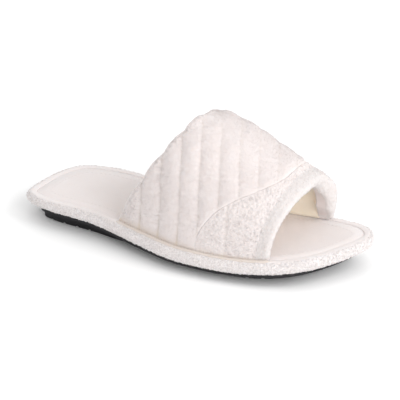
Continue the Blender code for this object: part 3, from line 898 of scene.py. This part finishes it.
def quilt_relief(points, share):
    """Puffed channels that pucker beside their stitch lines."""
    place = quilt_place(points)
    from_line = np.abs(place - np.round(place)) * QUILT_PITCH
    puff = np.hypot(np.sin(math.pi * place), 0.05) ** 0.6 - 0.70
    near_crest = ease(0.55, 1.0, from_foot(share))
    depth = QUILT_DEPTH * (1 - (1 - CREST_QUILT) * near_crest)
    along = points[..., 1] * math.cos(QUILT_TURN) - points[..., 0] * math.sin(QUILT_TURN)
    wide, narrow = PUCKER_SIZE
    drawn = np.stack([quilt_across(points) / wide, along / narrow, points[..., 2] / narrow], axis=-1)
    pucker = (0.35 + bell(from_line, 0.0, 0.003)) * soft_noise(drawn, 1.0, 9)
    pucker = pucker * (1 - 0.7 * near_crest)
    lumps = 0.0003 * soft_noise(points, 0.009, 10) + 0.00018 * nub_noise(points, 0.0018, 16)
    return depth * puff + PUCKER * pucker + lumps, from_line


def edge_arc(line, x_edge, outward, radius, corner, at_outer, at_inner, bends):
    """Rounded edge from the outer to the inner face, a little knobbly like the pile."""
    along = unit(upper_point(x_edge + outward * 0.001, line) - upper_point(x_edge, line))
    arc = []
    for turn in np.linspace(0, math.pi, bends + 2)[1:-1]:
        mix = (1 - math.copysign(abs(math.cos(turn)) ** corner, math.cos(turn))) / 2
        centre = at_outer * (1 - mix) + at_inner * mix
        knobs = EDGE_KNOBS * (nub_noise(centre, 0.0019, 25) - 0.5)[:, None]
        arc.append(centre + along * (radius + knobs) * math.sin(turn))
    return np.stack(arc, axis=1)


def build_wall(name, start, end, rows, columns, wall, relief, materials, node, edge,
               inner_tan_and_shade=LINING_TAN_AND_SHADE):
    """Hollow wall of the upper: textured outside, plain lining inside, rounded edges."""
    line = np.linspace(0, 1, rows)
    first, last = start(line), end(line)
    inner_columns = max(4, columns // 4)

    def face(count):
        u = np.linspace(0, 1, count)
        x = (first + edge.rear)[:, None] + (last - first - edge.rear - edge.front)[:, None] * u
        share = np.repeat(line[:, None], count, axis=1)
        return x, share, upper_point(x, share), upper_normal(x, share)

    x, share, plain, normal = face(columns)
    gap = np.minimum(x - first[:, None], last[:, None] - x)
    rise, tone_and_shade = relief(plain, share, gap)
    foot = ease(0.0, 0.05, from_foot(share))
    outer = plain + normal * (rise * foot)[..., None]
    _, share_in, plain_in, normal_in = face(inner_columns)
    inner = plain_in - normal_in * wall_thickness(share_in, wall)[..., None]

    bends = edge.bends
    front = edge_arc(line, last - edge.front, 1, edge.front, edge.front_corner, outer[:, -1],
                     inner[:, -1], bends)
    rear = edge_arc(line, first + edge.rear, -1, edge.rear, edge.rear_corner, outer[:, 0],
                    inner[:, 0], bends)[:, ::-1]
    rings = np.concatenate([outer, front, inner[:, ::-1], rear], axis=1)
    skin = np.concatenate([outer, front], axis=1)
    count = rings.shape[1]
    feet = rings[[0, -1]] - np.array([0, 0, FOOT_SINK])
    rings = np.concatenate([feet[:1], rings, feet[1:]])
    faces = loft_faces(len(rings), count)
    faces.append(tuple(range(count))[::-1])
    faces.append(tuple((len(rings) - 1) * count + i for i in range(count)))
    kinds = np.zeros((len(rings) - 1, count), int)
    inside = slice(columns + bends, columns + bends - 1 + inner_columns)
    kinds[:, inside] = 1
    kinds = np.concatenate([kinds.ravel(), [0, 0]])
    warm = np.zeros((len(rings), count))
    warm[1:-1, :columns] = tone_and_shade
    # the lining turns deep tan towards the crest: partly its tone, partly painted shade inside the top
    # of the upper
    warm[1:-1, inside] = (inner_tan_and_shade * ease(0.30, 0.85, from_foot(line)))[:, None]
    warm[0], warm[-1] = warm[1], warm[-2]
    item = add_piece(name, rings, faces, materials, kinds, warm)
    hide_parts(node)
    return Wall(outer, normal, share, skin)


def upper_relief(points, share, gap):
    rise, from_line = quilt_relief(points, share)
    hem = 0.45 + 0.55 * ease(0.0, 0.007, gap)
    half = from_foot(share)
    # painted shade: the fleece is mixed to tan along each stitch line, more strongly low down, and at
    # the upper's foot beside the rim
    stitch_shade = bell(from_line, 0.0, 0.0008) * (0.14 + 0.45 * (1 - ease(0.0, 0.18, half)))
    tone_and_shade = np.clip(0.6 * (1 - ease(0.0, 0.05, half)) + stitch_shade, 0, 1)
    at_edge = 1 - ease(0.0, HEM_ROLL_RUN, gap)
    corner = (1 - ease(*CORNER_PLACE, quilt_place(points))) * (share < 0.5)
    behind = points[..., 0] - rear_edge(share)
    knobs = REAR_KNOBS * (nub_noise(points, 0.0023, 23) - 0.5)
    knobs = knobs * np.maximum(corner, 1 - ease(0.0, 0.009, behind))
    at_rear = 1 - ease(0.0, 0.012, behind)
    full = CREST_PUFF * ease(0.62, 1.0, half) * ease(0.006, 0.016, behind) * ease(0.0, 0.006, gap)
    full = full - PEAK_DROP * bell(share, *PEAK_AT) * at_rear
    full = full + SHOULDER_PUFF * bell(share, *SHOULDER_AT) * at_rear
    return rise * hem + knobs - at_edge * HEM_ROLL + full, tone_and_shade


def panel_relief(points, share, gap):
    crease = bell(quilt_across(points), CREASE_AT, 0.0012) * (share < 0.5)
    curls = 0.0010 * (nub_noise(points, 0.0021, 4) - 0.5) + 0.0003 * soft_noise(points, 0.007, 12)
    curls = curls + 0.0003 * nub_noise(points, 0.0011, 24)
    puff = 0.0009 * ease(0.0, 0.010, gap) - 0.0005
    # painted shade: the curly pile is mixed to tan at the panel's foot and in its crease
    tone_and_shade = 0.6 * (1 - ease(0.0, 0.05, from_foot(share))) + 0.1 * crease
    return curls + puff - 0.0006 * crease, tone_and_shade


def binding_relief(points, share, gap):
    puff = 0.0007 * ease(0.0, BINDING_WIDTH / 2, gap) - 0.0001
    lumps = 0.00035 * soft_noise(points, 0.008, 14) + 0.0005 * (nub_noise(points, 0.0019, 15) - 0.5)
    past_seam = ease(0.0, 0.005, points[..., 0] - binding_line(share))
    puff = puff + 0.0022 * ease(0.58, 0.84, share) * past_seam
    # painted shade: the plush is mixed to tan at the binding's foot
    return puff + lumps, 0.4 * (1 - ease(0.0, 0.04, from_foot(share)))


def scalloped_edge(share):
    """The rear edge, a little proud at each puffed channel."""
    x = rear_edge(share)
    place = quilt_place(upper_point(x, share))
    return x - 0.0016 * (np.hypot(np.sin(math.pi * place), 0.15) - 0.4)


def rolled_front(share):
    """The front edge, a little proud of the part's because the plush rolls over it."""
    far = ease(*FAR_ROLL, share) * np.sin(math.pi * share) ** 0.3
    return front_edge(share) + 0.0016 * np.sin(math.pi * share) ** 0.5 + 0.0030 * far


def build_upper(materials, rng):
    quilt = build_wall(
        "upper_fleece", scalloped_edge, lambda s: seam_line(s) + OVERLAP, 250, 200, QUILT_WALL,
        upper_relief, [materials["fleece"], materials["lining"]], "upper",
        EdgeShape(0.0016, 1.0, 0.0016, 1.0, 5)
    )
    panel = build_wall(
        "toe_panel_curly", lambda s: seam_line(s) - OVERLAP, lambda s: binding_line(s) + UNDER_BINDING,
        430, 120, QUILT_WALL, panel_relief, [materials["curly"], materials["lining"]],
        "toe_panel", EdgeShape(0.0009, 0.8, 0.0009, 0.8, 5)
    )
    # the binding's inner faces take the paler footbed cloth: painted light that lifts the shade inside
    # the roll
    binding = build_wall(
        "toe_binding_plush", lambda s: binding_line(s) - OVERLAP, rolled_front, 330, 30,
        BINDING_WALL, binding_relief, [materials["plush"], materials["sock"]],
        "toe_binding", EdgeShape(0.0014, 0.4, 0.0036, 0.85, 22), 0.0
    )

    add_panel_curls(panel, materials, rng)
    add_rear_curls(quilt, materials, rng)
    add_quilt_threads(quilt, materials)
    add_nap("upper_nap", quilt.outer, quilt.normal, 60000, 0.0012, materials["fleece"],
            rng)
    roll_up = grid_normals(binding.skin, False, False)
    if np.sum(roll_up[:, : binding.normal.shape[1]] * binding.normal) < 0:
        roll_up = -roll_up
    add_nap("binding_nap", binding.skin, roll_up, 9000, 0.0011, materials["plush"],
            rng)


def add_panel_curls(panel, materials, rng):
    """Curls over the toe panel, thinned towards its narrow middle."""
    width = np.linalg.norm(panel.outer[:, -1] - panel.outer[:, 0], axis=1)
    step = np.linalg.norm(np.diff(panel.outer.mean(axis=1), axis=0), axis=1).mean()
    near_crest = ease(0.62, 0.86, from_foot(panel.share[:, 0]))
    wanted = rng.poisson(width * step / CURL_PITCH**2 * (1 - CURL_THINNING * near_crest))
    rows = np.repeat(np.arange(len(width)), wanted).astype(float)
    rows = np.clip(rows + rng.uniform(-0.5, 0.5, rows.size), 1, len(width) - 2)
    columns = rng.uniform(0.5, panel.outer.shape[1] - 2, rows.size)
    points = on_grid(panel.outer, rows, columns)
    normals = on_grid(panel.normal, rows, columns)
    add_loops("panel_curls", points, normals, PANEL_CURL, materials["curly"], rng)


def add_rear_curls(quilt, materials, rng):
    """Knobbly pile at the rear corners, behind the first stitch line, and along the rear edge."""
    last = len(quilt.outer)
    rows = last * rng.uniform(0.0, 0.17, REAR_CURLS)
    taper = 1 - rows / (0.19 * last)
    rows = np.where(rng.uniform(size=REAR_CURLS) < 0.5, 1 + rows, last - 2 - rows)
    columns = REAR_CURL_REACH * rng.uniform(0.0, 1.0, REAR_CURLS)
    kept = columns < REAR_CURL_REACH * taper
    more = rng.uniform(3, last - 4, EDGE_CURLS)
    rows = np.append(rows[kept], more)
    columns = np.append(columns[kept], rng.uniform(0.2, 5.0, EDGE_CURLS))
    points = on_grid(quilt.outer, rows, columns)
    normals = on_grid(quilt.normal, rows, columns)
    add_loops("rear_curls", points, normals, REAR_CURL, materials["fleece"], rng)


def quilt_valley(quilt, place, line):
    """Points and normals of the upper's surface along one stitch line."""
    points, ups = [], []
    for row in range(THREAD_MARGIN, len(quilt.outer) - THREAD_MARGIN):
        past = place[row] - line
        cross = np.where((past[:-1] < 0) & (past[1:] >= 0))[0]
        if len(cross):
            k = cross[0]
            t = -past[k] / (past[k + 1] - past[k])
            points.append(quilt.outer[row, k] * (1 - t) + quilt.outer[row, k + 1] * t)
            ups.append(quilt.normal[row, k])
    return np.array(points), np.array(ups)


def add_quilt_threads(quilt, materials):
    """Thread in the valley of each stitch line, found on the upper's own surface."""
    place = quilt_place(quilt.outer)
    runs = []
    for line in QUILT_LINES:
        points, ups = quilt_valley(quilt, place, line)
        if len(points) > THREAD_LEAST:
            steps = np.linalg.norm(np.diff(points, axis=0), axis=1)
            cuts = np.where(steps > THREAD_GAP)[0] + 1
            runs += zip(np.split(points, cuts), np.split(ups, cuts))
    runs = [run for run in runs if len(run[0]) > THREAD_LEAST]
    for k, (points, ups) in enumerate(runs):
        add_stitches(f"quilt_thread_{k + 1}", points, ups, QUILT_STITCH, materials["thread"])


def build_stage():
    mesh = bpy.data.meshes.new("floor")
    r = FLOOR_HALF
    mesh.from_pydata([(-r, -r, 0), (r, -r, 0), (r, r, 0), (-r, r, 0)], [], [(0, 1, 2, 3)])
    floor = bpy.data.objects.new("floor", mesh)
    floor.location.z = -FLOOR_DROP
    bpy.context.scene.collection.objects.link(floor)
    material = bpy.data.materials.new("floor_white")
    material.use_nodes = True
    shader = material.node_tree.nodes["Principled BSDF"]
    shader.inputs["Base Color"].default_value = (FLOOR_WHITE, FLOOR_WHITE, FLOOR_WHITE, 1)
    shader.inputs["Roughness"].default_value = 0.8
    shader.inputs["Specular IOR Level"].default_value = 0.1
    mesh.materials.append(material)


def direction(azimuth, elevation):
    """Unit vector towards a place seen at these degrees round and over the slipper."""
    a, e = math.radians(azimuth), math.radians(elevation)
    return Vector((math.sin(a) * math.cos(e), -math.cos(a) * math.cos(e), math.sin(e)))


def add_lamp(row):
    lamp = bpy.data.lights.new(row.name, "AREA")
    lamp.shape = "DISK"
    lamp.size = row.size
    lamp.energy = row.power
    item = bpy.data.objects.new(row.name, lamp)
    away = direction(row.azimuth, row.elevation)
    item.location = away * LAMP_DISTANCE
    item.rotation_mode = "QUATERNION"
    item.rotation_quaternion = away.to_track_quat("Z", "Y")
    bpy.context.scene.collection.objects.link(item)


def build_light():
    world = bpy.data.worlds.new("studio")
    bpy.context.scene.world = world
    world.use_nodes = True
    background = world.node_tree.nodes["Background"]
    background.inputs["Color"].default_value = (1.0, 1.0, 1.0, 1)
    background.inputs["Strength"].default_value = SKY_STRENGTH
    for row in LAMPS:
        add_lamp(row)
    bpy.context.scene.view_settings.view_transform = "Standard"


def build_camera():
    back = direction(CAMERA_AZIMUTH, CAMERA_ELEVATION)
    turn, roll = math.radians(CAMERA_AZIMUTH), math.radians(CAMERA_ROLL)
    level = Vector((math.cos(turn), math.sin(turn), 0))
    upright = back.cross(level)
    right = level * math.cos(roll) + upright * math.sin(roll)
    up = upright * math.cos(roll) - level * math.sin(roll)
    lens = bpy.data.cameras.new("camera")
    lens.sensor_width = 36
    lens.lens = CAMERA_LENS
    lens.clip_end = 100
    camera = bpy.data.objects.new("camera", lens)
    placed = Matrix((right, up, back)).transposed().to_4x4()
    placed.translation = Vector(CAMERA_TARGET) + back * CAMERA_DISTANCE
    camera.matrix_world = placed
    bpy.context.scene.collection.objects.link(camera)
    bpy.context.scene.camera = camera


def main():
    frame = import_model()
    rng = np.random.default_rng(SEED)
    materials = make_materials()
    build_camera()
    build_rim(materials, rng)
    build_footbed(materials)
    build_welt(materials)
    build_upper(materials, rng)
    sole = frame["nodes"]["outsole"]
    for slot in sole.material_slots:
        slot.material = materials["rubber"]
    build_stage()
    build_light()


main()
